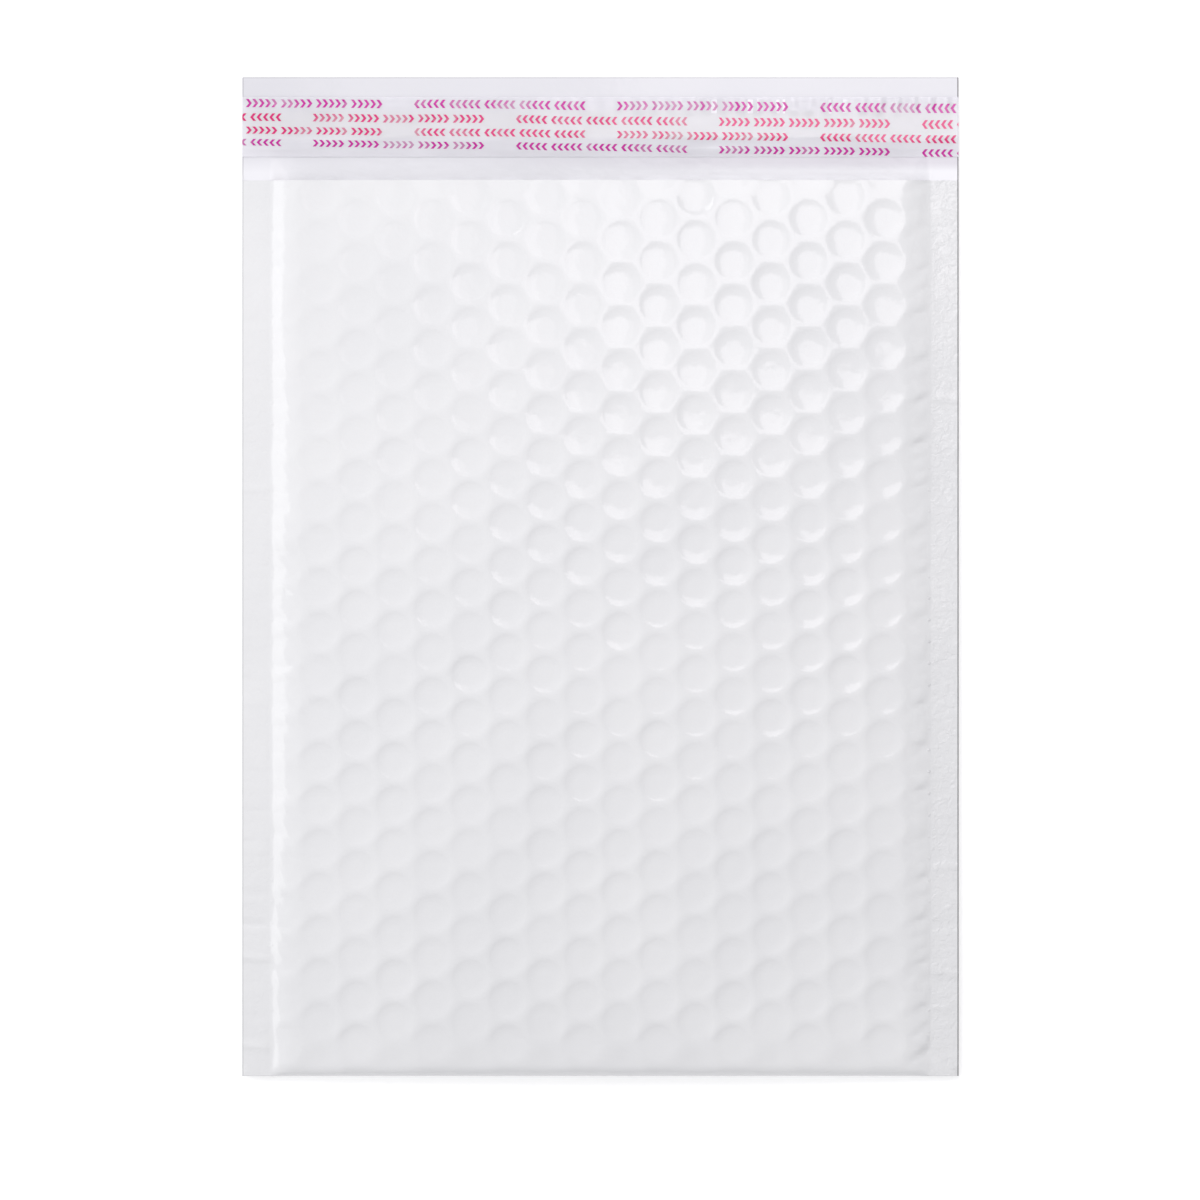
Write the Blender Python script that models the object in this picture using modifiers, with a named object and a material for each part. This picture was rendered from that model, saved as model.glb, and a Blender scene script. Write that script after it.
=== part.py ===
"""A padded mailing envelope of white polythene film, empty, lying on its back with its flap open.

Metres, +Z up. The envelope lies on the XY plane. +Y runs from the folded bottom of the pouch to
the tip of the flap, and the origin is at the bottom centre of the whole envelope.
"""

import math
from collections import namedtuple

import bmesh
import bpy
from mathutils.geometry import delaunay_2d_cdt

# Outline of the envelope
WIDTH = 0.180
POUCH_LENGTH = 0.225
FLAP_LENGTH = 0.026

# Side welds, where the plies are melted into one flat band
WELD_WIDTH = 0.0073
WELD_COVER = 0.0001
WELD_HEIGHT = 0.0026
WELD_EDGE = 0.00015
WELD_GAP = 0.0006

# Plies, from the outside in
FLAP_FILM = 0.0004
DISH_DEPTH = 0.0005
DISH_FLOOR = 0.0003
LINING = 0.0020
POCKET_GAP = 0.0048
CLEARANCE = 0.0003

# Rounding of the pouch beside its welds and at its folded bottom, and how far its front face
# falls from the middle to the welds
SIDE_ROUND = 0.0070
FOLD_ROUND = 0.0050
CROWN = 0.0012

# Air bubbles, which show in the outer film as shallow dishes on a triangular lattice
BUBBLE_PITCH = 0.01089
BUBBLE_RADIUS = 0.0046
FIRST_ROW_DROP = 0.0042
FRONT_SIDES = 8
BACK_SIDES = 6

# Flap, with its band of glue and the strip that covers it
FLAP_ROOT = 0.0020
FLAP_DROP = 0.0055
GLUE_WIDTH = 0.0066
GLUE_THICKNESS = 0.0003
GLUE_FROM_TIP = 0.0120
GLUE_INSET = 0.0010
LINER_WIDTH = 0.0150
LINER_FILM = 0.0002
LINER_FROM_TIP = 0.0125
LINER_SHOULDER = 0.0012

# Facets across each rounding, and the longest step between points on the flat
SIDE_FACETS = 4
FOLD_FACETS = 3
DROP_FACETS = 3
EDGE_STEP = 0.036
INNER_STEP = 0.040

# Worked out from the sizes above
HALF_WIDTH = WIDTH / 2
LENGTH = POUCH_LENGTH + FLAP_LENGTH
BOTTOM_Y = -LENGTH / 2
MOUTH_Y = BOTTOM_Y + POUCH_LENGTH
TIP_Y = LENGTH / 2
PAST_MOUTH_Y = MOUTH_Y + FLAP_LENGTH / 2
FILM = DISH_DEPTH + DISH_FLOOR
WELD_HALF = FLAP_FILM / 2 + WELD_COVER
WELD_X = HALF_WIDTH - WELD_WIDTH
LINING_INSET = FILM + CLEARANCE
POCKET_INSET = LINING_INSET + LINING
THICKNESS = 2 * POCKET_INSET + POCKET_GAP

# Nested surfaces of the pouch. Each lies inset from the outer skin on the flat, starts an
# outline inside the welds and the fold, and is two edges thick there
Shell = namedtuple("Shell", "inset outline edge")
SKIN = Shell(0.0, 0.0, WELD_HALF)
CAVITY = Shell(FILM, FILM, WELD_EDGE)
LINING_SKIN = Shell(LINING_INSET, LINING_INSET + WELD_GAP, WELD_EDGE)
POCKET = Shell(POCKET_INSET, POCKET_INSET + WELD_GAP, WELD_EDGE)

# Same point of two sheets, and the longest distance between points taken as one
POINT_MERGE = 1e-7


def clear_scene():
    """Removes whatever the scene holds at the start."""
    for thing in list(bpy.data.objects):
        bpy.data.objects.remove(thing)


def make_collection(name):
    """A collection of that name, linked to the scene."""
    collection = bpy.data.collections.new(name)
    bpy.context.scene.collection.children.link(collection)
    return collection


def make_material(name, colour, roughness, alpha=1.0):
    """A Principled material of one colour."""
    material = bpy.data.materials.new(name)
    material.use_nodes = True
    shader = material.node_tree.nodes["Principled BSDF"]
    shader.inputs["Base Color"].default_value = (*colour, 1.0)
    shader.inputs["Roughness"].default_value = roughness
    shader.inputs["Metallic"].default_value = 0.0
    shader.inputs["Alpha"].default_value = alpha
    material.diffuse_color = (*colour, alpha)
    return material


def share(distance, run):
    """How far along a run a distance lies, from 0 to 1."""
    return min(max(distance / run, 0.0), 1.0)


def swell(distance):
    """Height share beside a weld: it climbs steeply from the weld and levels out."""
    return 1 - (1 - share(distance, SIDE_ROUND)) ** 2


def roll(distance):
    """Height share at the folded bottom, where the plies turn in a round."""
    return math.sqrt(1 - (1 - share(distance, FOLD_ROUND)) ** 2)


def heights(x, y, shell):
    """Lowest and highest point of a shell over (x, y)."""
    side = swell(WELD_X - shell.outline - abs(x))
    fold = roll(y - BOTTOM_Y - shell.outline)
    crown = CROWN * (x / WELD_X) ** 2
    weld_low = WELD_HEIGHT - shell.edge
    weld_high = WELD_HEIGHT + shell.edge
    flat_low = weld_low + (shell.inset - weld_low) * side
    flat_high = weld_high + (THICKNESS - crown - shell.inset - weld_high) * side
    lifted = swell(WELD_X - LINING_SKIN.outline - abs(x)) ** 2
    nose = WELD_HEIGHT + (THICKNESS / 2 - WELD_HEIGHT) * lifted
    low = nose - shell.edge + (flat_low - nose + shell.edge) * fold
    high = nose + shell.edge + (flat_high - nose - shell.edge) * fold
    return low, high


def flap_heights(x, y):
    """Underside and top of the flap's film, which leaves the back wall and settles on the table."""
    back, _ = heights(x, MOUTH_Y, SKIN)
    drop = share(y - MOUTH_Y, FLAP_DROP)
    settled = drop * drop * (3 - 2 * drop)
    low = (back + WELD_COVER) * (1 - settled)
    return low, low + FLAP_FILM


def stepped(start, end, longest):
    """Evenly spaced values from start to end, no further apart than longest."""
    count = max(1, math.ceil((end - start) / longest))
    return [start + (end - start) * i / count for i in range(count + 1)]


def fold_distances():
    """Distances from the bottom edge at which the round of the fold is divided."""
    turn = math.pi / 2 / FOLD_FACETS
    return [FOLD_ROUND * (1 - math.cos(turn * i)) for i in range(FOLD_FACETS + 1)]


def side_distances():
    """Distances from a weld at which the climb beside it is divided."""
    return [SIDE_ROUND * i / SIDE_FACETS for i in range(SIDE_FACETS + 1)]


def across(outline, step):
    """Values of x from weld to weld, close together where the pouch climbs."""
    right = [WELD_X - outline - distance for distance in side_distances()]
    flat = stepped(-right[-1], right[-1], step)
    return [-x for x in right[:-1]] + flat + right[-2::-1]


def along(outline, step, end):
    """Values of y from the folded bottom to end, close together where the fold is rounded."""
    low = [BOTTOM_Y + outline + distance for distance in fold_distances()]
    return low[:-1] + stepped(low[-1], MOUTH_Y, step) + ([end] if end > MOUTH_Y else [])


def bubble_centres():
    """Centres of the bubbles that lie whole on the flat of the pouch, column by column."""
    column_step = BUBBLE_PITCH * math.sqrt(3) / 2
    room = WELD_X - SIDE_ROUND - BUBBLE_RADIUS
    columns = math.floor(2 * room / column_step) + 1
    lowest = BOTTOM_Y + FOLD_ROUND + BUBBLE_RADIUS
    highest = MOUTH_Y - FLAP_ROOT - BUBBLE_RADIUS
    centres = []
    for column in range(columns):
        x = (column - (columns - 1) / 2) * column_step
        y = MOUTH_Y - FIRST_ROW_DROP - (column % 2) * BUBBLE_PITCH / 2
        while y > lowest:
            if y < highest:
                centres.append((x, y))
            y -= BUBBLE_PITCH
    return centres


class Plan:
    """A flat layout of points and fixed edges, to be filled with triangles."""

    def __init__(self):
        self.points = []
        self.edges = []
        self.centres = set()

    def grid(self, xs, ys):
        """Adds the points of a grid, held together along its columns and its first and last rows."""
        first = len(self.points)
        rows = len(ys)
        self.points += [(x, y) for x in xs for y in ys]
        for column in range(len(xs)):
            start = first + column * rows
            self.edges += [(start + i, start + i + 1) for i in range(rows - 1)]
        for column in range(len(xs) - 1):
            start = first + column * rows
            self.edges.append((start, start + rows))
            self.edges.append((start + rows - 1, start + 2 * rows - 1))

    def bubble(self, x, y, sides):
        """Adds a bubble's centre and the ring of points around it."""
        self.centres.add(len(self.points))
        self.points.append((x, y))
        first = len(self.points)
        for side in range(sides):
            angle = 2 * math.pi * (side + 0.5) / sides
            self.points.append((x + BUBBLE_RADIUS * math.cos(angle), y + BUBBLE_RADIUS * math.sin(angle)))
            self.edges.append((first + side, first + (side + 1) % sides))

    def triangles(self):
        """The points and triangles that fill the layout, and the new places of the bubbles' centres."""
        points, _, faces, origins, _, _ = delaunay_2d_cdt(self.points, self.edges, [], 0, POINT_MERGE)
        centres = {i for i, origin in enumerate(origins) if self.centres & set(origin)}
        return points, faces, centres


def add_sheet(bm, plan, height, dish, flip):
    """Adds one skin over a plan, with each bubble's centre moved by dish, and returns its edges."""
    points, faces, centres = plan.triangles()
    made = []
    for i, (x, y) in enumerate(points):
        moved = dish if i in centres else 0.0
        made.append(bm.verts.new((x, y, height(x, y) + moved)))
    skin = [bm.faces.new([made[i] for i in face]) for face in faces]
    if flip:
        bmesh.ops.reverse_faces(bm, faces=skin)
    return [edge for edge in {edge for face in skin for edge in face.edges} if edge.is_boundary]


def make_pillow(name, front, back, surfaces, dish=0.0):
    """A closed body between two skins: front over the high surface, back under the low one."""
    bm = bmesh.new()
    rim = add_sheet(bm, front, lambda x, y: surfaces(x, y)[1], -dish, False)
    rim += add_sheet(bm, back, lambda x, y: surfaces(x, y)[0], dish, True)
    bmesh.ops.bridge_loops(bm, edges=rim)
    bmesh.ops.recalc_face_normals(bm, faces=bm.faces)
    mesh = bpy.data.meshes.new(name)
    bm.to_mesh(mesh)
    bm.free()
    return bpy.data.objects.new(name, mesh)


def skin_plan(sides):
    """Layout of one outer face of the pouch, with its bubbles as rings of that many sides."""
    plan = Plan()
    plateau = WELD_X - SIDE_ROUND
    ys = along(0.0, EDGE_STEP, MOUTH_Y)
    right = [HALF_WIDTH] + [WELD_X - distance for distance in side_distances()]
    plan.grid([-x for x in right], ys)
    plan.grid(right[::-1], ys)
    flat = stepped(-plateau, plateau, EDGE_STEP)
    fold = [BOTTOM_Y + distance for distance in fold_distances()]
    plan.grid(flat, fold)
    plan.points += [(x, MOUTH_Y) for x in flat[1:-1]]
    for x, y in bubble_centres():
        plan.bubble(x, y, sides)
    return plan


def smooth_plan(shell, end):
    """Layout of a shell without bubbles, from the fold to end."""
    plan = Plan()
    plan.grid(across(shell.outline, INNER_STEP), along(shell.outline, INNER_STEP, end))
    return plan


def make_smooth_pillow(name, shell, end):
    """A closed body between the two surfaces of a shell without bubbles."""
    plan = smooth_plan(shell, end)
    return make_pillow(name, plan, plan, lambda x, y: heights(x, y, shell))


def make_flap_sheet():
    """The flap's film, rooted inside the back wall of the pouch."""
    plan = Plan()
    drop = [MOUTH_Y + FLAP_DROP * i / DROP_FACETS for i in range(DROP_FACETS + 1)]
    xs = [-HALF_WIDTH] + across(0.0, INNER_STEP) + [HALF_WIDTH]
    plan.grid(xs, [MOUTH_Y - FLAP_ROOT] + drop + [TIP_Y])
    return make_pillow("flap_sheet", plan, plan, flap_heights)


def add_boolean(target, tool, operation):
    """Joins or cuts the target by the tool, both kept live."""
    modifier = target.modifiers.new(tool.name, "BOOLEAN")
    modifier.operation = operation
    modifier.object = tool
    modifier.solver = "EXACT"


def make_outer_film():
    """Front, back and flap of one white film: a dimpled pillow hollowed out, with the flap joined on."""
    film = make_pillow(
        "outer_film",
        skin_plan(FRONT_SIDES),
        skin_plan(BACK_SIDES),
        lambda x, y: heights(x, y, SKIN),
        DISH_DEPTH,
    )
    return film, make_smooth_pillow("film_cavity", CAVITY, PAST_MOUTH_Y), make_flap_sheet()


def make_lining():
    """The bubble sheet, folded at the bottom and welded at its sides, around the empty pocket."""
    lining = make_smooth_pillow("bubble_lining", LINING_SKIN, MOUTH_Y)
    return lining, make_smooth_pillow("pocket", POCKET, PAST_MOUTH_Y)


def make_glue():
    """The band of glue across the flap, with its long edges eased."""
    bm = bmesh.new()
    bmesh.ops.create_cube(bm, size=1.0)
    size = (WIDTH - 2 * GLUE_INSET, GLUE_WIDTH, GLUE_THICKNESS)
    bmesh.ops.scale(bm, vec=size, verts=bm.verts)
    centre_z = FLAP_FILM + CLEARANCE + GLUE_THICKNESS / 2
    bmesh.ops.translate(bm, vec=(0.0, TIP_Y - GLUE_FROM_TIP, centre_z), verts=bm.verts)
    mesh = bpy.data.meshes.new("adhesive_strip")
    bm.to_mesh(mesh)
    bm.free()
    glue = bpy.data.objects.new("adhesive_strip", mesh)
    bevel = glue.modifiers.new("eased_edges", "BEVEL")
    bevel.width = GLUE_THICKNESS / 3
    bevel.segments = 1
    return glue


def liner_profile():
    """Points across the strip: down on the flap at both edges, and over the glue between them."""
    on_flap = FLAP_FILM + CLEARANCE
    on_glue = on_flap + GLUE_THICKNESS + CLEARANCE
    centre = TIP_Y - LINER_FROM_TIP
    glue = TIP_Y - GLUE_FROM_TIP
    inner = GLUE_WIDTH / 2 + CLEARANCE
    return [
        (centre - LINER_WIDTH / 2, on_flap),
        (glue - inner - LINER_SHOULDER, on_flap),
        (glue - inner, on_glue),
        (glue + inner, on_glue),
        (glue + inner + LINER_SHOULDER, on_flap),
        (centre + LINER_WIDTH / 2, on_flap),
    ]


def make_liner():
    """The peel-off strip over the glue: an open sheet given the thickness of its film."""
    bm = bmesh.new()
    across_strip = [bm.verts.new((-HALF_WIDTH, y, z)) for y, z in liner_profile()]
    edges = [bm.edges.new(pair) for pair in zip(across_strip, across_strip[1:])]
    swept = bmesh.ops.extrude_edge_only(bm, edges=edges)
    moved = [item for item in swept["geom"] if isinstance(item, bmesh.types.BMVert)]
    bmesh.ops.translate(bm, vec=(WIDTH, 0.0, 0.0), verts=moved)
    bmesh.ops.recalc_face_normals(bm, faces=bm.faces)
    for face in bm.faces:
        if face.normal.z < 0:
            face.normal_flip()
    mesh = bpy.data.meshes.new("release_liner")
    bm.to_mesh(mesh)
    bm.free()
    liner = bpy.data.objects.new("release_liner", mesh)
    solidify = liner.modifiers.new("film", "SOLIDIFY")
    solidify.thickness = LINER_FILM
    solidify.offset = 1.0
    return liner


def place(thing, collection, material):
    """Files a finished piece in its collection and gives it its material."""
    collection.objects.link(thing)
    thing.data.materials.append(material)


def keep_tool(thing, collection):
    """Files a shape that only cuts or joins, and keeps it out of renders."""
    collection.objects.link(thing)
    thing.hide_render = True
    thing.display_type = "WIRE"


def build():
    """Makes the whole envelope."""
    clear_scene()
    pieces = make_collection("padded_envelope")
    tools = make_collection("tools")

    film, film_cavity, flap_sheet = make_outer_film()
    place(film, pieces, make_material("white_film", (0.86, 0.86, 0.88), 0.28))
    keep_tool(film_cavity, tools)
    keep_tool(flap_sheet, tools)
    add_boolean(film, film_cavity, "DIFFERENCE")
    add_boolean(film, flap_sheet, "UNION")

    lining, pocket = make_lining()
    place(lining, pieces, make_material("bubble_film", (0.80, 0.83, 0.85), 0.18, 0.55))
    keep_tool(pocket, tools)
    add_boolean(lining, pocket, "DIFFERENCE")

    place(make_glue(), pieces, make_material("hot_melt_glue", (0.84, 0.82, 0.76), 0.45))
    place(make_liner(), pieces, make_material("liner_film", (0.86, 0.85, 0.88), 0.20, 0.60))


build()
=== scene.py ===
# %% [markdown]
# # A padded envelope
#
# The object is a small white bubble mailer, empty, lying on its back with its flap open and
# seen from straight above. It is made of four things: an outer skin of glossy white
# polythene, a lining of clear bubble film, a band of cream glue across the flap, and the
# printed strip that covers the glue until somebody peels it off.
#
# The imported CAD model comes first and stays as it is. It fixes the size and the place of
# everything that follows, and each piece made here stands in for one of its nodes.

import math
import random

import bmesh
import bpy
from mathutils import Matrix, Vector, noise


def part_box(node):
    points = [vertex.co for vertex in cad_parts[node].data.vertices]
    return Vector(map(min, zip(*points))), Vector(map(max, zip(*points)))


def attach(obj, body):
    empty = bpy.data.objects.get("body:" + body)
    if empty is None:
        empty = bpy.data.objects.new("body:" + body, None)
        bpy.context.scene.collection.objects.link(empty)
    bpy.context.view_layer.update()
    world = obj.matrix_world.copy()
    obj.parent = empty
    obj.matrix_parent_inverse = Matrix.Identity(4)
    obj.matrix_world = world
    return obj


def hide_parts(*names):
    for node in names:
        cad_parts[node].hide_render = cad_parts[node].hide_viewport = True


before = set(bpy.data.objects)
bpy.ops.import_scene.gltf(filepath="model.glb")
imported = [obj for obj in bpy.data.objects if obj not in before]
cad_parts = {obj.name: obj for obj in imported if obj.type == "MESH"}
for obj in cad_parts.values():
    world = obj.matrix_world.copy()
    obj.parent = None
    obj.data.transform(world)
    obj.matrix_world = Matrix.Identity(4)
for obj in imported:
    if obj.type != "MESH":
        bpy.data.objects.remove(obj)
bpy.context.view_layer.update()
skin_low, skin_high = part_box("outer_film")
liner_low, liner_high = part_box("release_liner")
glue_low, glue_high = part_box("adhesive_strip")
MM = 0.001

# %% [markdown]
# ## The camera
#
# The photograph has no perspective to speak of: both sides run straight up the picture. A
# very long lens far above the envelope gives that look. The frame is 302 mm wide, which
# leaves the same white margins, and its centre lies a little below the centre of the
# envelope.

# %% Camera
FRAME_WIDTH = 301.7 * MM
LENS = 300.0
SENSOR = 36.0
CAMERA_HEIGHT = LENS / SENSOR * FRAME_WIDTH
CAMERA_X = -0.1 * MM
CAMERA_Y = -5.9 * MM

bpy.ops.object.select_all(action="DESELECT")
bpy.ops.object.camera_add(location=(CAMERA_X, CAMERA_Y, CAMERA_HEIGHT), rotation=(0, 0, 0))
camera = bpy.context.object
camera.name = "Camera"
camera.data.lens = LENS
camera.data.sensor_width = SENSOR
camera.data.clip_start = 0.1
camera.data.clip_end = 20.0
bpy.context.scene.camera = camera
print("camera height, m:", round(CAMERA_HEIGHT, 3))

# %% [markdown]
# ## The table and the light
#
# White on white is lit by large soft boxes, or it turns into a paper cut-out. The glossy
# film mirrors them: two boxes over the upper right, a small one inside a wider one, fill the
# dents there with light, and lower down only the lower rim of each dent is steep enough to
# catch it. A low box on the left draws the long bright line up the left side, a weaker one
# opposite keeps the right side from going dark, and a broad one at the top left lifts that
# corner. The boxes stay out of the camera's sight. The world is a little brighter overhead
# and to the left, and the floor gives off some light itself, so that it shows as pure white.

# %% Floor, world and soft boxes
bpy.ops.mesh.primitive_plane_add(size=30.0, location=(0, 0, 0))
floor = bpy.context.object
floor.name = "floor"
FLOOR_GLOW = 0.245
floor_paint = bpy.data.materials.new("floor_paper")
floor_paint.use_nodes = True
paper = floor_paint.node_tree.nodes["Principled BSDF"]
paper.inputs["Base Color"].default_value = (0.93, 0.93, 0.93, 1)
paper.inputs["Roughness"].default_value = 0.9
paper.inputs["Specular IOR Level"].default_value = 0.1
paper.inputs["Emission Color"].default_value = (1, 1, 1, 1)
paper.inputs["Emission Strength"].default_value = FLOOR_GLOW
floor.data.materials.append(floor_paint)

BRIGHT_SIDE = (-0.11, 0.06, 0.42)
DIM_WALL = (0.56, 0.56, 0.575, 1)
BRIGHT_WALL = (1.0, 1.0, 1.015, 1)
WORLD_STRENGTH = 0.83
world = bpy.data.worlds.new("studio")
bpy.context.scene.world = world
world.use_nodes = True
walls = world.node_tree
sky = walls.nodes["Background"]
toward = walls.nodes.new("ShaderNodeTexCoord")
lighter = walls.nodes.new("ShaderNodeVectorMath")
lighter.operation = "DOT_PRODUCT"
lighter.inputs[1].default_value = BRIGHT_SIDE
fade = walls.nodes.new("ShaderNodeValToRGB")
walls.links.new(toward.outputs["Generated"], lighter.inputs[0])
walls.links.new(lighter.outputs["Value"], fade.inputs[0])
walls.links.new(fade.outputs[0], sky.inputs["Color"])
fade.color_ramp.elements[0].position = 0.0
fade.color_ramp.elements[0].color = DIM_WALL
fade.color_ramp.elements[1].position = 0.42
fade.color_ramp.elements[1].color = BRIGHT_WALL
sky.inputs["Strength"].default_value = WORLD_STRENGTH
bpy.context.scene.view_settings.view_transform = "Standard"


def soft_box(name, place, aim, width, height, radiance, tint=(1, 1, 1)):
    """A rectangular lamp at a place, facing a point, as bright as asked all over its face."""
    bpy.ops.object.light_add(type="AREA", location=place)
    lamp = bpy.context.object
    lamp.name = name
    lamp.data.shape = "RECTANGLE"
    lamp.data.size = width
    lamp.data.size_y = height
    lamp.data.energy = radiance * math.pi * width * height
    lamp.data.color = tint
    away = Vector(place) - Vector(aim)
    lamp.rotation_euler = away.to_track_quat("Z", "Y").to_euler()
    lamp.visible_camera = False
    return lamp


PINK_WHITE = (1.0, 0.955, 0.985)
soft_box("key_box", (0.095, 0.262, 0.45), (0.095, 0.262, 0), 0.18, 0.36, 1.25, PINK_WHITE)
soft_box("wide_box", (0.060, 0.265, 0.46), (0.060, 0.265, 0), 0.28, 0.34, 0.75, PINK_WHITE)
soft_box("side_box", (-0.90, 0.02, 0.41), (0, 0.02, 0), 0.80, 0.50, 1.65)
soft_box("fill_box", (0.90, 0.00, 0.50), (0, 0, 0), 0.80, 0.50, 0.6)
soft_box("corner_box", (-0.60, 0.85, 0.9), (0, 0, 0), 0.7, 0.7, 2.35)

# %% [markdown]
# ## Working on a mesh by hand
#
# Nearly every step below is the same as at the screen: pick some points or edges by their
# place, then extrude, scale or cut. These small helpers do the picking. Everything else is
# deselected first, because an operator acts on all that is selected.

# %% Helpers for modelling


def open_only(thing):
    """Opens one object for editing, with nothing else selected."""
    if bpy.context.object and bpy.context.object.mode != "OBJECT":
        bpy.ops.object.mode_set(mode="OBJECT")
    bpy.ops.object.select_all(action="DESELECT")
    thing.select_set(True)
    bpy.context.view_layer.objects.active = thing
    bpy.ops.object.mode_set(mode="EDIT")


def close_editing():
    """Leaves edit mode."""
    bpy.ops.object.mode_set(mode="OBJECT")


def pick_edges(thing, test):
    """Selects the edges of the open mesh whose two ends both pass the test."""
    bpy.ops.mesh.select_mode(type="EDGE")
    bpy.ops.mesh.select_all(action="DESELECT")
    mesh = bmesh.from_edit_mesh(thing.data)
    for edge in mesh.edges:
        if all(test(point.co) for point in edge.verts):
            edge.select = True
    bmesh.update_edit_mesh(thing.data)


def pick_border(thing, test, longer=0.0):
    """Selects border edges whose ends both pass the test, if longer than asked; counts them."""
    bpy.ops.mesh.select_mode(type="EDGE")
    bpy.ops.mesh.select_all(action="DESELECT")
    mesh = bmesh.from_edit_mesh(thing.data)
    count = 0
    for edge in mesh.edges:
        ends = all(test(point.co) for point in edge.verts)
        if edge.is_boundary and ends and edge.calc_length() > longer:
            edge.select = True
            count += 1
    bmesh.update_edit_mesh(thing.data)
    return count


def add_modifier(thing, kind, **settings):
    """Adds a modifier with these settings and applies it."""
    bpy.ops.object.select_all(action="DESELECT")
    thing.select_set(True)
    bpy.context.view_layer.objects.active = thing
    bpy.ops.object.modifier_add(type=kind)
    modifier = thing.modifiers[-1]
    for name, value in settings.items():
        setattr(modifier, name, value)
    bpy.ops.object.modifier_apply(modifier=modifier.name)


def turn_outward(thing):
    """Makes the open mesh's faces agree, and turns them so that its highest face looks up."""
    bpy.ops.mesh.select_all(action="SELECT")
    bpy.ops.mesh.normals_make_consistent(inside=False)
    mesh = bmesh.from_edit_mesh(thing.data)
    highest = max(mesh.faces, key=lambda face: face.calc_center_median().z)
    if highest.normal.z < 0:
        bpy.ops.mesh.flip_normals()


def triangles(thing):
    """How many triangles a mesh has."""
    return sum(len(face.vertices) - 2 for face in thing.data.polygons)


# %% [markdown]
# ## One dent of the film
#
# Bubble film lies under the white skin, and the skin is stuck to the top of each bubble. As
# the film cools the air in the bubbles shrinks, so every bubble shows as a shallow round
# dish with a soft ridge round it. The bubbles sit as close as circles can, so one cell is a
# hexagon. A cell is modelled once: a hexagon and a circle are bridged, the circle is
# extruded inward, and the last ring is merged to a point.

# %% One cell of the bubble pattern
PITCH = 10.89 * MM
COLUMN = PITCH * math.sqrt(3) / 2
CELL_RADIUS = PITCH / math.sqrt(3)


def make_cell(name, per_side, rings):
    """A hexagonal cell with rings of (radius, height) inside it, closed by a fan."""
    bpy.ops.object.select_all(action="DESELECT")
    bpy.ops.mesh.primitive_circle_add(vertices=6, radius=CELL_RADIUS)
    cell = bpy.context.object
    cell.name = name
    open_only(cell)
    bpy.ops.mesh.select_all(action="SELECT")
    if per_side > 1:
        bpy.ops.mesh.subdivide(number_cuts=per_side - 1)
    bpy.ops.mesh.primitive_circle_add(
        vertices=6 * per_side, radius=rings[0][0], location=(0, 0, rings[0][1])
    )
    bpy.ops.mesh.select_all(action="SELECT")
    bpy.ops.mesh.bridge_edge_loops()
    bpy.ops.mesh.select_all(action="SELECT")
    bpy.ops.transform.rotate(value=math.pi / 2, orient_axis="Z", center_override=(0, 0, 0))
    for (radius, height), (outer, above) in zip(rings[1:], rings):
        pick_edges(cell, lambda p: abs(p.xy.length - outer) < 1e-6)
        bpy.ops.mesh.extrude_region_move(
            TRANSFORM_OT_translate={"value": (0, 0, height - above)}
        )
        if radius > 0:
            scale = radius / outer
            bpy.ops.transform.resize(value=(scale, scale, 1), center_override=(0, 0, height))
        else:
            bpy.ops.mesh.merge(type="CENTER")
    close_editing()
    return cell


FLOOR_EDGE = 3.95 * MM
skin_cell = make_cell("skin_cell", 3, [(FLOOR_EDGE, -0.25 * MM), (0, -0.37 * MM)])
print("one cell:", len(skin_cell.data.polygons), "faces")

# %% [markdown]
# ## A sheet of cells
#
# Two cells, half a pitch apart, repeat both ways. The Array modifier copies them like a
# stamp and welds each copy to the last. The lattice lies where the photograph has it: the
# first row of one column starts 4.2 mm below the mouth, and the next column half a pitch
# lower. Then four straight cuts trim the sheet to the pouch.

# %% Stamp the sheet and trim it
COLUMNS = 18
ROWS = 23
FIRST_DROP = 4.2 * MM
LATTICE_SHIFT = 0.35 * MM
HALF_WIDTH = skin_high.x
BOTTOM_Y = skin_low.y
TIP_Y = skin_high.y
MOUTH_Y = BOTTOM_Y + 225 * MM
WELD_X = HALF_WIDTH - 7.3 * MM
FIRST_X = -(COLUMNS - 1) / 2 * COLUMN + LATTICE_SHIFT
FIRST_Y = MOUTH_Y - FIRST_DROP + PITCH


def cut(thing, place, normal, clear):
    """Cuts the open mesh along a plane, and drops what lies beyond it if asked."""
    bpy.ops.mesh.select_all(action="SELECT")
    bpy.ops.mesh.bisect(
        plane_co=place, plane_no=normal, clear_outer=clear, threshold=1e-6
    )


def stamp_sheet(cell, left_x, right_x, bottom_y):
    """Repeats a cell over the pouch and trims the sheet to its outline."""
    open_only(cell)
    bpy.ops.mesh.select_all(action="SELECT")
    bpy.ops.transform.translate(value=(FIRST_X, FIRST_Y - PITCH / 2, 0))
    bpy.ops.mesh.duplicate_move(
        TRANSFORM_OT_translate={"value": (COLUMN, PITCH / 2, 0)}
    )
    close_editing()
    for count, step in ((COLUMNS // 2, (2 * COLUMN, 0, 0)), (ROWS, (0, -PITCH, 0))):
        add_modifier(
            cell,
            "ARRAY",
            use_relative_offset=False,
            use_constant_offset=True,
            constant_offset_displace=step,
            count=count,
            use_merge_vertices=True,
            merge_threshold=0.02 * MM,
        )
    open_only(cell)
    bpy.ops.mesh.select_all(action="SELECT")
    bpy.ops.mesh.remove_doubles(threshold=0.02 * MM)
    cut(cell, (right_x, 0, 0), (1, 0, 0), True)
    cut(cell, (left_x, 0, 0), (-1, 0, 0), True)
    cut(cell, (0, MOUTH_Y, 0), (0, 1, 0), True)
    cut(cell, (0, bottom_y, 0), (0, -1, 0), True)
    close_editing()
    return cell


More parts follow.
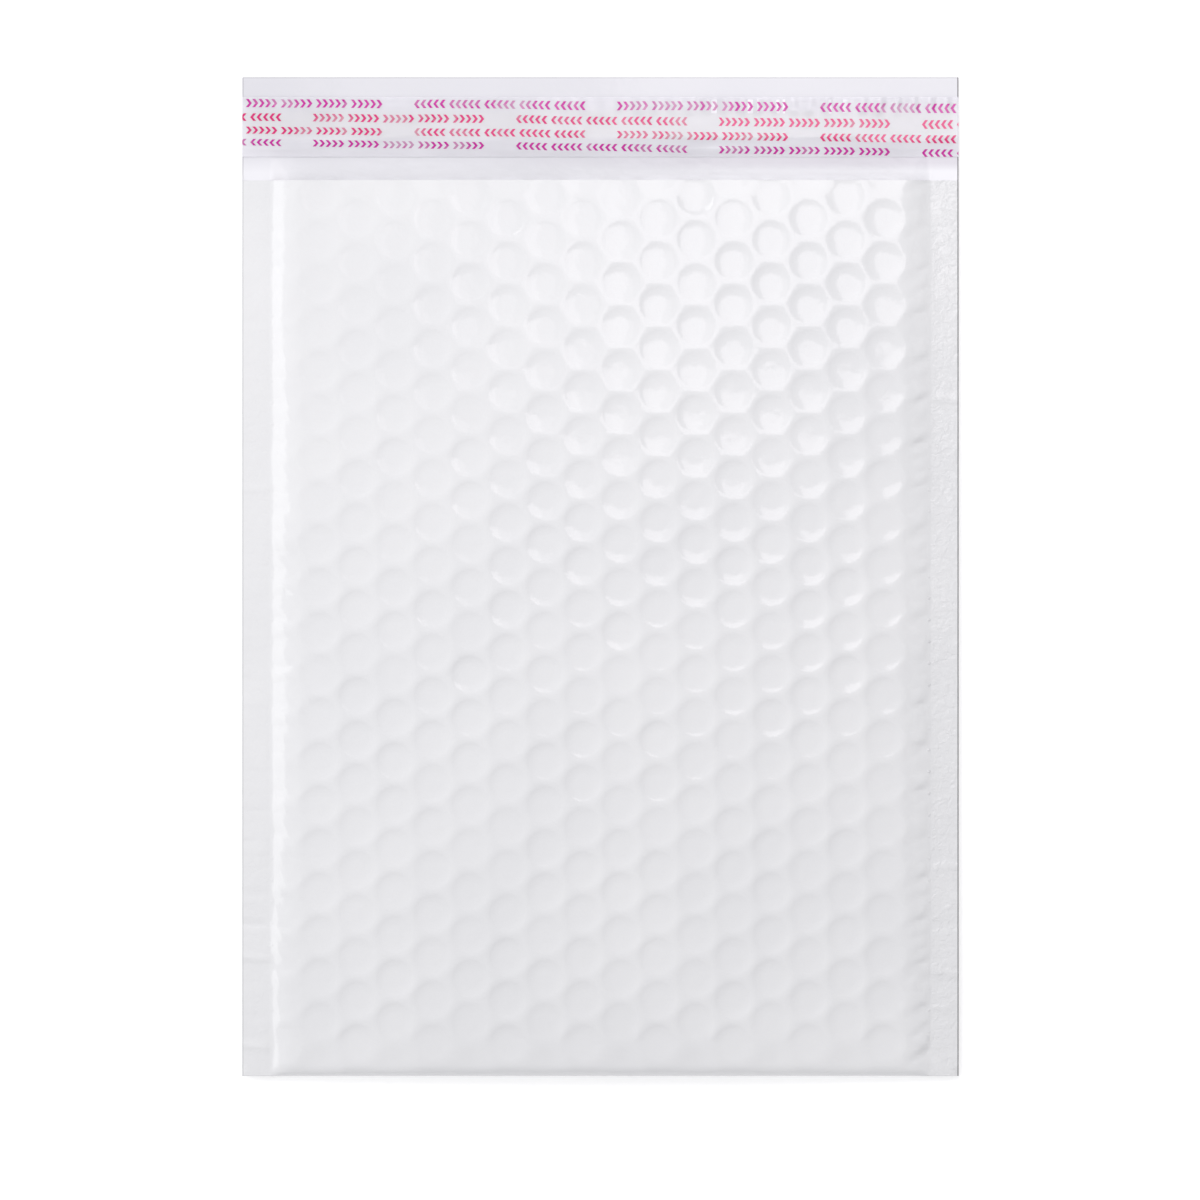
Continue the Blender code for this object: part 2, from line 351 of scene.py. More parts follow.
LEFT_X = -75.5 * MM
RIGHT_X = 76.3 * MM
front = stamp_sheet(skin_cell, LEFT_X, RIGHT_X, BOTTOM_Y)
front.name = "white_film_skin"
print("sheet:", triangles(front), "triangles")

# %% [markdown]
# ## Welds at the sides
#
# Both sides of the pouch are closed by a heat weld, a flat band 7.3 mm wide. The welding bar
# also crushes the last column of bubbles on each side, so there the sheet stops at whole
# dishes and goes on as a plain strip that can be creased. The side edges are divided until
# their points are about a millimetre apart, and extruded outward in narrow strips. Three
# more cuts close to the bottom give the fold points to turn on.

# %% Extrude the crushed strips and the weld bands
FOLD_CUTS = (0.08 * MM, 0.4 * MM, 1.0 * MM, 2.0 * MM)
CRUSHED_STRIPS = 8
WELD_STRIPS = (0.6 * MM, 1.7 * MM, 1.7 * MM, 1.6 * MM, 1.5 * MM, 0.2 * MM)
LONGEST = 1.05 * MM

open_only(front)
for drop in FOLD_CUTS:
    cut(front, (0, BOTTOM_Y + drop, 0), (0, 1, 0), False)
for start, side in ((LEFT_X, -1), (RIGHT_X, 1)):
    for _ in range(2):
        pick_border(front, lambda p: abs(p.x - start) < 1e-6, LONGEST)
        bpy.ops.mesh.subdivide(number_cuts=1)
    crushed = (WELD_X - abs(start)) / CRUSHED_STRIPS
    reach = start
    for strip in [crushed] * CRUSHED_STRIPS + list(WELD_STRIPS):
        found = pick_border(front, lambda p: abs(p.x - reach) < 1e-6)
        bpy.ops.mesh.extrude_region_move(
            TRANSFORM_OT_translate={"value": (side * strip, 0, 0)}
        )
        reach += side * strip
close_editing()
print("with welds:", triangles(front), "triangles,", found, "edges up each side")

# %% Split off the back
bpy.ops.object.select_all(action="DESELECT")
front.select_set(True)
bpy.context.view_layer.objects.active = front
bpy.ops.object.duplicate()
back = bpy.context.object
back.name = "back_skin"


def nearest_cell(x, y):
    """Distance, column, row and centre of the bubble cell over (x, y)."""
    best = None
    middle = round((x - FIRST_X) / COLUMN)
    for column in (middle - 1, middle, middle + 1):
        top = FIRST_Y - (PITCH / 2 if column % 2 == 0 else 0)
        row = round((top - y) / PITCH)
        centre = (FIRST_X + column * COLUMN, top - row * PITCH)
        distance = math.hypot(x - centre[0], y - centre[1])
        if best is None or distance < best[0]:
            best = (distance, column, row, centre)
    return best


# %% [markdown]
# ## The pillow shape
#
# A padded envelope is a flat tube: it rises steeply from the welds, crowns towards its
# middle, where the pocket stands a little open, and turns round in a soft fold at the
# bottom. One function gives the lowest and the highest point of the pouch at any place, and
# every ply uses it with an inset of its own, so that they nest. Where the pouch is thin the
# insets are squeezed together. On top of that form come the dishes, no two alike, and the
# creases that the welding leaves beside the bands.

# %% Heights of the pouch
THICKNESS = 11.0 * MM
WELD_HEIGHT = 2.4 * MM
WELD_HALF = 0.22 * MM
WELD_TILT = 0.10
STEEPNESS = 0.78
FOLD_ROUND = 3.2 * MM
CROWN = 6.1 * MM
LENGTH_CROWN = 3.2 * MM
MOST_FALL = 7.6 * MM
MOUTH_RUN = 26 * MM
MOUTH_FALL = 1.3
BOTTOM_RUN = 30 * MM
BOTTOM_FALL = 0.8
CROWN_Y = -5 * MM
LENGTH_RUN = 105 * MM
UPPER_CROWN = 1.2
SHORTEST_RISE = 3 * MM
NOSE_SHARE = 0.45
CLOSEST = 0.8 * MM
TIGHTEST = 2.6 * MM
SQUEEZE_RUN = 3.7 * MM


def share(distance, run):
    """How far along a run a distance lies, from 0 to 1."""
    return min(max(distance / run, 0.0), 1.0)


def ease(value):
    """Smooth step from 0 to 1."""
    return value * value * (3 - 2 * value)


def wander(x, y, size, seed):
    """Smooth noise from about -1 to 1 that changes over a length called size."""
    return noise.noise(Vector((x / size, y / size, seed * 7.31)))


def weld_height(y):
    """Height of the welds, which sink towards the mouth and the bottom."""
    mouth = ease(share(y - MOUTH_Y + 34 * MM, 34 * MM))
    bottom = ease(share(BOTTOM_Y + 26 * MM - y, 26 * MM))
    return WELD_HEIGHT - 1.0 * MM * mouth - 0.4 * MM * bottom


def pouch(x, y, inset=0.0, outline=0.0, half=WELD_HALF, apart=0.0):
    """Lowest and highest point over (x, y) of a ply that lies inset inside the skin.

    Where the pouch is thin the inset shrinks towards CLOSEST. The gap called apart doesn't.
    """
    mouth = share(y - MOUTH_Y + MOUTH_RUN, MOUTH_RUN)
    bottom = share(BOTTOM_Y + BOTTOM_RUN - y, BOTTOM_RUN)
    across = CROWN * (x / WELD_X) ** 2
    upper = UPPER_CROWN if y > CROWN_Y else 1.0
    along = upper * LENGTH_CROWN * ((y - CROWN_Y) / LENGTH_RUN) ** 2
    along += MM * (MOUTH_FALL * mouth**2 + BOTTOM_FALL * bottom**2)
    fall = MOST_FALL * (1 - (1 - across / MOST_FALL) * (1 - along / MOST_FALL))
    weld = weld_height(y)
    rise = max(2 * (THICKNESS - fall - weld - half) / STEEPNESS, SHORTEST_RISE)
    rise *= 1 + 0.22 * wander(0, y, 10 * MM, 17 + (x > 0))
    side = 1 - (1 - share(WELD_X - outline - abs(x), rise)) ** 2
    fold = math.sqrt(1 - (1 - share(y - BOTTOM_Y - outline, FOLD_ROUND)) ** 2)
    fall -= 0.25 * MM * wander(x, y, 55 * MM, 1) * side
    if inset > CLOSEST:
        room = share(THICKNESS - fall - TIGHTEST, SQUEEZE_RUN)
        inset = CLOSEST + (inset - CLOSEST) * room
    inset += apart
    low = weld - half + (inset - weld + half) * side
    high = weld + half + (THICKNESS - fall - inset - weld - half) * side
    nose = weld + (NOSE_SHARE * (THICKNESS - fall) - weld) * side * side
    return nose + (low - nose) * fold, nose + (high - nose) * fold


print("pouch at its middle, mm:", [round(v / MM, 2) for v in pouch(0, 0)])

# %% Dishes, creases and wrinkled welds
DISH = (
    (0, -0.40),
    (2.0, -0.38),
    (3.95, -0.305),
    (4.45, -0.165),
    (4.9, -0.078),
    (5.45, -0.012),
    (6.3, 0),
)
DISH_REACH = DISH[-1][0]
FLAT_REACH = 5.3
dice = random.Random(11)
depths = {
    (column, row): dice.gauss(1.0, 0.12)
    for column in range(-1, COLUMNS + 1)
    for row in range(-1, ROWS + 1)
}
tilts = {key: (dice.gauss(0, 0.010), dice.gauss(-0.016, 0.010)) for key in depths}


def dish(x, y):
    """How far the film sinks below its ridges at (x, y), from DISH's radii and depths in mm."""
    distance, column, row, centre = nearest_cell(x, y)
    radius = min(distance / MM, DISH_REACH)
    for (near, top), (far, low) in zip(DISH, DISH[1:]):
        if radius <= far:
            sink = top + (low - top) * (radius - near) / (far - near)
            break
    tilt = tilts[column, row]
    lean = tilt[0] * (x - centre[0]) + tilt[1] * (y - centre[1])
    calm = 0.56 + 0.44 * ease(share(x + 0.6 * (MOUTH_Y - y) + 70 * MM, 110 * MM))
    calm *= 1 if LEFT_X < x < RIGHT_X else 0.7
    calm *= 1 - 0.16 * share(-y - 10 * MM, 60 * MM)
    dent = 0.05 * MM * wander(x, y, 3.0 * MM, 12)
    flat = 1 - share(radius, FLAT_REACH) ** 4
    return (sink * MM * depths[column, row] + (lean + dent) * flat) * calm


def groove(side, number):
    """Place, lean, depth and width of one crease in a crushed strip."""
    roll = random.Random(1000 * side + number)
    depth = roll.uniform(0.28, 0.50) if number % 2 else roll.uniform(0.06, 0.22)
    place = BOTTOM_Y + (number + roll.uniform(-0.16, 0.16)) * PITCH / 2
    return place, roll.uniform(0.25, 0.65), depth * MM, roll.uniform(0.7, 1.15) * MM


grooves = {(side, number): groove(side, number) for side in (-1, 1) for number in range(-3, 46)}


def creases(x, y):
    """Slanting creases beside each weld, one for each crushed bubble and a smaller between."""
    depth = WELD_X - abs(x)
    window = ease(share(depth, 1.0 * MM)) * (1 - ease(share(depth - 2.5 * MM, 4.6 * MM)))
    if window <= 0:
        return 0.0
    side = 1 if x > 0 else -1
    strength = 0.35 + 0.65 * share(0.5 + 1.3 * wander(0, y, 34 * MM, 5 + side), 1)
    sink = 0.0
    nearest = round((y - BOTTOM_Y) / (PITCH / 2))
    for number in range(nearest - 2, nearest + 3):
        place, lean, deep, width = grooves[side, number]
        off = (y - place - lean * (3.5 * MM - depth)) / width
        sink -= deep * math.exp(-off * off)
    fine = wander(x * 0.5, y + 0.5 * depth, 2.0 * MM, 2 + side)
    broad = wander(x * 0.3, y, 8.0 * MM, 6 + side)
    gentle = 1.0 if x > 0 else 0.6
    return window * gentle * (strength * sink + MM * (0.32 * fine + 0.24 * broad))


WELD_CREASES = (
    (-1, 22.0, -0.02, 1.76),
    (-1, -87.6, 0.05, -2.42),
    (-1, -96.4, 0.12, 2.86),
    (-1, -118.5, 0.10, 2.86),
    (1, 45.0, -0.08, 2.20),
    (1, -73.0, 0.02, 2.42),
    (1, -88.0, 0.10, -1.98),
    (1, -99.0, -0.15, 2.64),
)
CREASE_WIDTH = 0.75 * MM


def weld_wrinkles(x, y):
    """Ripples across the weld bands, and a few creases given by side, place, lean and height."""
    past = abs(x) - WELD_X
    if past < 0:
        return 0.0
    window = ease(share(past, 1.2 * MM))
    ribs = wander(x * 0.15, y, 1.9 * MM, 8 + (x > 0)) * share(wander(0, y, 30 * MM, 9) + 0.4, 1)
    slow = wander(0, y, 38 * MM, 10 + (x > 0))
    buckle = wander(x, y, 6.0 * MM, 14 + (x > 0))
    hang = WELD_TILT * past * weld_height(y) / WELD_HEIGHT
    for side, place, lean, high in WELD_CREASES:
        off = (y - place * MM - lean * past) / CREASE_WIDTH
        if side * x > 0 and abs(off) < 3:
            buckle += high * math.exp(-off * off)
    return window * MM * (0.18 * ribs + 0.20 * slow + 0.14 * buckle) - hang


def shape_front(point):
    """Height of the front's outer face over a point."""
    x, y = point.x, point.y
    inside = share(WELD_X - abs(x), 2 * MM) * ease(share(y - BOTTOM_Y, 3 * MM))
    top = pouch(x, y)[1] + dish(x, y) * inside + creases(x, y) * ease(share(y - BOTTOM_Y, 4 * MM))
    return top + weld_wrinkles(x, y)


def shape_back(point):
    """Height of the back's outer face over a point."""
    x, y = point.x, point.y
    inside = share(WELD_X - abs(x), 2 * MM) * ease(share(y - BOTTOM_Y, 3 * MM))
    return pouch(x, y)[0] - dish(x, y) * inside + weld_wrinkles(x, y)


def close_edge(point, height):
    """Brings a skin to the middle of the weld along the cut edge."""
    openness = share(HALF_WIDTH - abs(point.x), WELD_STRIPS[-1])
    middle = weld_height(point.y) + weld_wrinkles(point.x, point.y)
    return middle + (height - middle) * openness


for skin, shape in ((front, shape_front), (back, shape_back)):
    for vertex in skin.data.vertices:
        vertex.co.z = close_edge(vertex.co, shape(vertex.co))
    skin.data.update()
print("front stands", round(max(v.co.z for v in front.data.vertices) / MM, 2), "mm high")

# %% [markdown]
# ## The flap
#
# The flap is the back of the envelope, carried on past the mouth. It has no bubbles, so it
# lies flat on the table apart from slow waves and a few creases along the strip. It is
# extruded from the back's mouth edge in narrow strips.

# %% Extrude and settle the flap
FLAP_STRIPS = [0.5, 1.0, 1.5] + [1.8] * 12
FLAP_STRIPS = [s * (TIP_Y - MOUTH_Y) / sum(FLAP_STRIPS) for s in FLAP_STRIPS]
FLAP_DROP = 9.0 * MM
FILM = 0.2 * MM


def flap_wave(x, y):
    """How far the flap film lifts off the table, never below it."""
    along = wander(x, y * 0.5, 26 * MM, 20) + 0.5 * wander(x, y, 11 * MM, 21)
    crease = abs(wander(x * 0.25, y + 0.05 * x, 5 * MM, 22))
    return 0.16 * MM * (1 + along) + 0.10 * MM * (1 - crease)


def shape_flap(x, y):
    """Underside of the flap."""
    root = pouch(x, MOUTH_Y)[0] + weld_wrinkles(x, MOUTH_Y)
    settled = ease(share(y - MOUTH_Y, FLAP_DROP))
    return root + (flap_wave(x, y) - root) * settled


open_only(back)
reach = MOUTH_Y
for strip in FLAP_STRIPS:
    pick_border(back, lambda p: abs(p.y - reach) < 1e-6)
    bpy.ops.mesh.extrude_region_move(TRANSFORM_OT_translate={"value": (0, strip, 0)})
    reach += strip
close_editing()
for vertex in back.data.vertices:
    if vertex.co.y > MOUTH_Y + 1e-6:
        vertex.co.z = shape_flap(vertex.co.x, vertex.co.y)
print("flap reaches", round(reach / MM, 2), "mm")

# %% [markdown]
# ## Front and back become one skin
#
# The two sheets share their outline point for point, so joining them and merging doubles
# closes the pouch along both cut edges and the fold. The normals are turned outward before
# the wall gets its thickness, because Solidify grows away from them.

# %% Join, close and thicken the skin
bpy.ops.object.select_all(action="DESELECT")
back.select_set(True)
front.select_set(True)
bpy.context.view_layer.objects.active = front
bpy.ops.object.join()
skin = front
open_only(skin)
bpy.ops.mesh.select_all(action="SELECT")
bpy.ops.mesh.remove_doubles(threshold=0.001 * MM)
turn_outward(skin)
close_editing()
print("skin before its thickness:", triangles(skin), "triangles")
add_modifier(
    skin, "SOLIDIFY", thickness=FILM, offset=-1.0, use_even_offset=False, use_rim=True
)
print("skin:", triangles(skin), "triangles")

# %% [markdown]
# ## Finer dishes where they show
#
# A dish in the back or inside the pouch is never seen close to, so those keep only their
# floor and a plain wall. The spokes of the front's dishes are divided instead of adding
# rings by hand: once in the floor, and twice down the wall, where the new points are slid
# outward or inward to true circles. Then their heights are set again. The profile turns in a
# soft convex ridge from one dish to the next, as film does over a bubble's rim.

# %% Add the rings and set the heights again
INNER_WALL = 4.45 * MM
OUTER_WALL = 4.9 * MM
WALL_SWITCH = 4.88 * MM
FRONT_ABOVE = 3.4 * MM


def whole_dish(point):
    """How far a point of the front is from the middle of its dish, or None elsewhere."""
    if point.normal.z < 0.5 or point.co.z < FRONT_ABOVE:
        return None
    distance, _, _, centre = nearest_cell(point.co.x, point.co.y)
    across = LEFT_X + 3.9 * MM < centre[0] < RIGHT_X - 3.9 * MM
    along = BOTTOM_Y + 7.5 * MM < centre[1] < MOUTH_Y - 4.0 * MM
    return distance if across and along else None


def divide_spokes(thing, near, far, cuts):
    """Divides the edges of the whole dishes that run from one distance to the other."""
    open_only(thing)
    bpy.ops.mesh.select_mode(type="EDGE")
    bpy.ops.mesh.select_all(action="DESELECT")
    mesh = bmesh.from_edit_mesh(thing.data)
    reach = {point: whole_dish(point) for point in mesh.verts}
    count = 0
    for edge in mesh.edges:
        ends = [reach[point] for point in edge.verts]
        if None in ends or abs(min(ends) - near) > 1e-6 or not far < max(ends) < far + 1.2 * MM:
            continue
        edge.select = True
        count += 1
    bmesh.update_edit_mesh(thing.data)
    bpy.ops.mesh.subdivide(number_cuts=cuts)
    close_editing()
    return count


print("floor spokes:", divide_spokes(skin, 0.0, FLOOR_EDGE - 0.1 * MM, 1))
old_points = len(skin.data.vertices)
print("wall spokes:", divide_spokes(skin, FLOOR_EDGE, 5.4 * MM, 2))
distances = [whole_dish(vertex) for vertex in skin.data.vertices]
for vertex, distance in zip(skin.data.vertices, distances):
    if distance is None:
        continue
    x, y, _ = vertex.co
    if vertex.index >= old_points:
        centre = nearest_cell(x, y)[3]
        radius = INNER_WALL if distance < WALL_SWITCH else OUTER_WALL
        x = centre[0] + (x - centre[0]) * radius / distance
        y = centre[1] + (y - centre[1]) * radius / distance
    vertex.co = (x, y, shape_front(Vector((x, y, 0))))
skin.data.update()
bpy.ops.object.shade_smooth_by_angle(angle=math.radians(42))
print("skin with its fine dishes:", triangles(skin), "triangles")

# %% [markdown]
# ## White polythene
#
# The film is milky, glossy and slightly cool in colour. Its gloss isn't even: the blown film
# has fine flow marks, so a little bump and an uneven roughness break up the reflections, and
# the colour wanders by a few percent. The flap is a single ply over the table, so it is
# darker and cooler. Next to the mouth its colour is painted lighter: a painted light foot that
# lifts the shade there. Between that foot and the strip, towards the right, a patch is painted
# darker as painted shade. Along the cut edges a hair-thin dark line, strongest on the right, is
# painted shadow, painted on the last third of a millimetre of the film.

# %% Material helpers


def new_material(name):
    """A node material, with its tree and its Principled shader."""
    material = bpy.data.materials.new(name)
    material.use_nodes = True
    tree = material.node_tree
    return material, tree, tree.nodes["Principled BSDF"]


def add_node(tree, kind, inputs=None, **settings):
    """Adds a node. Inputs are values, or sockets that get linked."""
    node = tree.nodes.new(kind)
    for name, value in settings.items():
        setattr(node, name, value)
    for key, value in (inputs or {}).items():
        if isinstance(value, bpy.types.NodeSocket):
            tree.links.new(value, node.inputs[key])
        else:
            node.inputs[key].default_value = value
    return node


def object_place(tree):
    """Object coordinates."""
    return add_node(tree, "ShaderNodeTexCoord").outputs["Object"]


def noise_value(tree, place, scale, detail=3.0, roughness=0.5, distortion=0.0):
    """Noise from 0 to 1."""
    node = add_node(
        tree,
        "ShaderNodeTexNoise",
        {
            "Vector": place,
            "Scale": scale,
            "Detail": detail,
            "Roughness": roughness,
            "Distortion": distortion,
        },
    )
    return node.outputs["Fac"]


def ramp(tree, value, stops):
    """A colour ramp through stops of (place, colour)."""
    node = add_node(tree, "ShaderNodeValToRGB", {"Fac": value})
    elements = node.color_ramp.elements
    while len(elements) < len(stops):
        elements.new(0.5)
    for element, (place, colour) in zip(elements, stops):
        element.position = place
        element.color = (*colour, 1) if len(colour) == 3 else colour
    return node.outputs["Color"]


def math_node(tree, operation, first, second=None, third=None, clamp=False):
    """A Math node's result."""
    values = {0: first}
    if second is not None:
        values[1] = second
    if third is not None:
        values[2] = third
    node = add_node(tree, "ShaderNodeMath", values, operation=operation, use_clamp=clamp)
    return node.outputs[0]


def mix_colour(tree, factor, first, second):
    """Blends one colour into another. Each is a value or a socket."""
    node = add_node(
        tree, "ShaderNodeMix", {"Factor": factor, 6: first, 7: second}, data_type="RGBA"
    )
    return node.outputs[2]


def scale_range(tree, value, low, high, to_low, to_high):
    """Maps a value from one range to another."""
    node = add_node(
        tree,
        "ShaderNodeMapRange",
        {0: value, 1: low, 2: high, 3: to_low, 4: to_high},
    )
    return node.outputs[0]


# %% White film
FOOT_PAINTED_LIGHT_TINT = (0.815, 0.810, 0.845, 1)
SHADED_TINT = (0.63, 0.605, 0.66, 1)
EDGE_SHADOW_TINT = (0.04, 0.04, 0.045, 1)
film, tree, shader = new_material("white_polythene")
place = object_place(tree)
slow = noise_value(tree, place, 22.0, 3.0)
tint = ramp(tree, slow, ((0.30, (0.755, 0.757, 0.770)), (0.70, (0.785, 0.785, 0.795))))
single = ramp(tree, slow, ((0.30, (0.692, 0.687, 0.728)), (0.70, (0.718, 0.713, 0.750))))
axes = add_node(tree, "ShaderNodeSeparateXYZ", {0: place})
on_flap = scale_range(tree, axes.outputs[1], MOUTH_Y - 0.1 * MM, MOUTH_Y + 0.1 * MM, 0.0, 1.0)
# painted light: a lighter foot on the flap next to the mouth, lifting the shade there
painted_foot_light = scale_range(tree, axes.outputs[1], MOUTH_Y + 2.0 * MM, MOUTH_Y + 6.5 * MM, 1.0, 0.0)
with_painted_foot_light = mix_colour(tree, painted_foot_light, single, FOOT_PAINTED_LIGHT_TINT)
# painted shade: a darker patch on the flap between the foot and the strip, towards the right
past_mouth = scale_range(tree, axes.outputs[1], MOUTH_Y + 2.5 * MM, MOUTH_Y + 4.5 * MM, 0.0, 1.0)
under_strip = scale_range(tree, axes.outputs[1], MOUTH_Y + 7 * MM, MOUTH_Y + 9 * MM, 1.0, 0.0)
to_right = scale_range(tree, axes.outputs[0], -30 * MM, 50 * MM, 0.0, 0.8)
shaded = math_node(tree, "MULTIPLY", math_node(tree, "MULTIPLY", past_mouth, under_strip), to_right)
with_painted_shade = mix_colour(tree, shaded, with_painted_foot_light, SHADED_TINT)
plies = mix_colour(tree, on_flap, tint, with_painted_shade)
# painted shadow: a hair-thin dark line along the right, left and tip edges of the film
right_edge_shadow = scale_range(tree, axes.outputs[0], 89.66 * MM, 89.76 * MM, 0.0, 0.8)
left_edge_shadow = scale_range(tree, axes.outputs[0], -89.72 * MM, -89.62 * MM, 0.25, 0.0)
tip_edge_shadow = scale_range(tree, axes.outputs[1], TIP_Y - 0.25 * MM, TIP_Y - 0.15 * MM, 0.0, 0.28)
sides = math_node(tree, "MAXIMUM", right_edge_shadow, left_edge_shadow)
edges = math_node(tree, "MAXIMUM", sides, tip_edge_shadow)
with_edge_shadow = mix_colour(tree, edges, plies, EDGE_SHADOW_TINT)
tree.links.new(with_edge_shadow, shader.inputs["Base Color"])
grain = noise_value(tree, place, 900.0, 3.0, 0.6)
tree.links.new(scale_range(tree, grain, 0.3, 0.7, 0.07, 0.12), shader.inputs["Roughness"])
flow = noise_value(tree, place, 330.0, 2.0, 0.5, 0.4)
bump = add_node(tree, "ShaderNodeBump", {"Strength": 0.45, "Distance": 0.00012, "Height": flow})

print("film colour and gloss:", len(tree.nodes), "nodes")

# %% [markdown]
# ## What the welding bar pressed in
#
# The weld bands look rougher than the pouch, because the bar leaves ribs across them and
# fine crumples, more on the right, and a row of small dots along their inner edge. All of
# these are far smaller than the mesh can hold, so they are bumps in the material. Three Bump
# nodes in a row feed each other their normals.

# %% Ribs, dots and crumples pressed into the welds
aside = math_node(tree, "ABSOLUTE", axes.outputs[0])
band = scale_range(tree, aside, WELD_X, WELD_X + 0.8 * MM, 0.0, 1.0)
band = math_node(tree, "MULTIPLY", band, math_node(tree, "SUBTRACT", 1.0, on_flap))
stretched = add_node(
    tree, "ShaderNodeVectorMath", {0: place, 1: (260.0, 760.0, 300.0)}, operation="MULTIPLY"
)
ribs = noise_value(tree, stretched.outputs[0], 1.0, 2.0, 0.5)
patches = scale_range(tree, noise_value(tree, place, 35.0, 1.0), 0.46, 0.62, 0.12, 0.8)
crumple = noise_value(tree, place, 520.0, 3.0, 0.6, 0.8)
pressed = math_node(tree, "MULTIPLY_ADD", ribs, patches, math_node(tree, "MULTIPLY", crumple, 1.3))
weld_bump = add_node(
    tree,
    "ShaderNodeBump",
    {"Distance": 0.0003, "Height": pressed, "Normal": bump.outputs["Normal"]},
)
rougher = scale_range(tree, axes.outputs[0], -MM, MM, 0.35, 0.9)
tree.links.new(math_node(tree, "MULTIPLY", band, rougher), weld_bump.inputs["Strength"])
DOT_X = WELD_X - 0.15 * MM
DOT_PITCH = PITCH / 2
beside = math_node(tree, "ABSOLUTE", math_node(tree, "SUBTRACT", aside, DOT_X))
step = math_node(tree, "PINGPONG", axes.outputs[1], DOT_PITCH / 2)
squares = math_node(
    tree, "ADD", math_node(tree, "POWER", beside, 2.0), math_node(tree, "POWER", step, 2.0)
)
away = math_node(tree, "SQRT", squares)
dots = scale_range(tree, away, 0.12 * MM, 0.45 * MM, 1.0, 0.0)
dots = math_node(tree, "MULTIPLY", dots, math_node(tree, "SUBTRACT", 1.0, on_flap))
dots = math_node(tree, "MULTIPLY", dots, patches)
dots = math_node(tree, "MULTIPLY", dots, scale_range(tree, axes.outputs[0], -MM, MM, 0.3, 1.0))
dot_bump = add_node(
    tree,
    "ShaderNodeBump",
    {"Strength": 0.8, "Distance": 0.00025, "Height": dots, "Normal": weld_bump.outputs["Normal"]},
)
tree.links.new(dot_bump.outputs["Normal"], shader.inputs["Normal"])
shader.inputs["IOR"].default_value = 1.50
skin.data.materials.clear()
skin.data.materials.append(film)
print("film material:", len(tree.nodes), "nodes")

# %% Put the skin in the frame
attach(skin, "root")
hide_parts("outer_film")
print("the skin stands in for outer_film")

# %% [markdown]
# ## The bubble lining
#
# The padding is bubble film: one sheet drawn into bubbles, and a flat sheet welded over
# their open side. The bubbles point outward and stick to the white skin, which is what
# makes its dishes, and the flat sheet lines the pocket so that things slide in easily. The
# same stamping makes the bubbled one, with a plainer cell, because only the mouth shows it.

# %% Stamp the bubbled sheet
BUBBLE_HEIGHT = 1.9 * MM
LINING_OUTLINE = 1.7 * MM
LINING_FILM = 0.12 * MM
LINING_INSET = 2.7 * MM
BUBBLE_INSET = 0.8 * MM
bubble_cell = make_cell(
    "bubble_cell",
    2,
    [(4.75 * MM, 0), (4.45 * MM, 1.3 * MM), (3.5 * MM, BUBBLE_HEIGHT), (0, BUBBLE_HEIGHT)],
)
LINING_X = WELD_X - LINING_OUTLINE
bubbles = stamp_sheet(bubble_cell, -LINING_X, LINING_X, BOTTOM_Y + LINING_OUTLINE)
bubbles.name = "bubble_film_lining"
open_only(bubbles)
for drop in (0.3 * MM, 1.2 * MM):
    cut(bubbles, (0, BOTTOM_Y + LINING_OUTLINE + drop, 0), (0, 1, 0), False)
close_editing()


def lay_ply(ply, front_side, base_inset, top_inset, outline, apart):
    """Brings a flat ply to its side of the pouch, with its bubbles between two insets."""
    for vertex in ply.data.vertices:
        x, y, up = vertex.co
        full = up / BUBBLE_HEIGHT
        index = 1 if front_side else 0
        base = pouch(x, y, base_inset, outline, 0.15 * MM, apart)[index]
        top = pouch(x, y, top_inset, outline, 0.20 * MM, apart)[index]
        height = base + (top - base) * full
        if front_side:
            height += creases(x, y) * ease(share(y - BOTTOM_Y, 4 * MM))
        edge = share(WELD_X - outline - abs(x), 0.3 * MM)
        vertex.co.z = weld_height(y) + (height - weld_height(y)) * edge
    ply.data.update()


def turn_into_tube(ply, base_inset, top_inset, outline, wall, apart=0.0):
    """Makes the other side of the pocket from a copy of the ply, and joins the two."""
    bpy.ops.object.select_all(action="DESELECT")
    ply.select_set(True)
    bpy.context.view_layer.objects.active = ply
    bpy.ops.object.duplicate()
    under = bpy.context.object
    lay_ply(ply, True, base_inset, top_inset, outline, apart)
    lay_ply(under, False, base_inset, top_inset, outline, apart)
    ply.select_set(True)
    bpy.context.view_layer.objects.active = ply
    bpy.ops.object.join()
    open_only(ply)
    bpy.ops.mesh.select_all(action="SELECT")
    bpy.ops.mesh.remove_doubles(threshold=0.001 * MM)
    turn_outward(ply)
    close_editing()
    add_modifier(
        ply, "SOLIDIFY", thickness=wall, offset=-1.0, use_even_offset=False, use_rim=True
    )
    bpy.ops.object.shade_smooth_by_angle(angle=math.radians(50))


turn_into_tube(bubbles, LINING_INSET, BUBBLE_INSET, LINING_OUTLINE, LINING_FILM)
print("bubbled sheet:", triangles(bubbles), "triangles")

# %% [markdown]
# ## The flat ply of the lining
#
# A grid, stretched to the pouch's plan and cut a few times more near its bottom and sides,
# where it turns most. It follows the bubbled sheet at a gap of its own that isn't squeezed,
# because a squeezed gap gets thinner than the film and lets the two sheets cut each other.

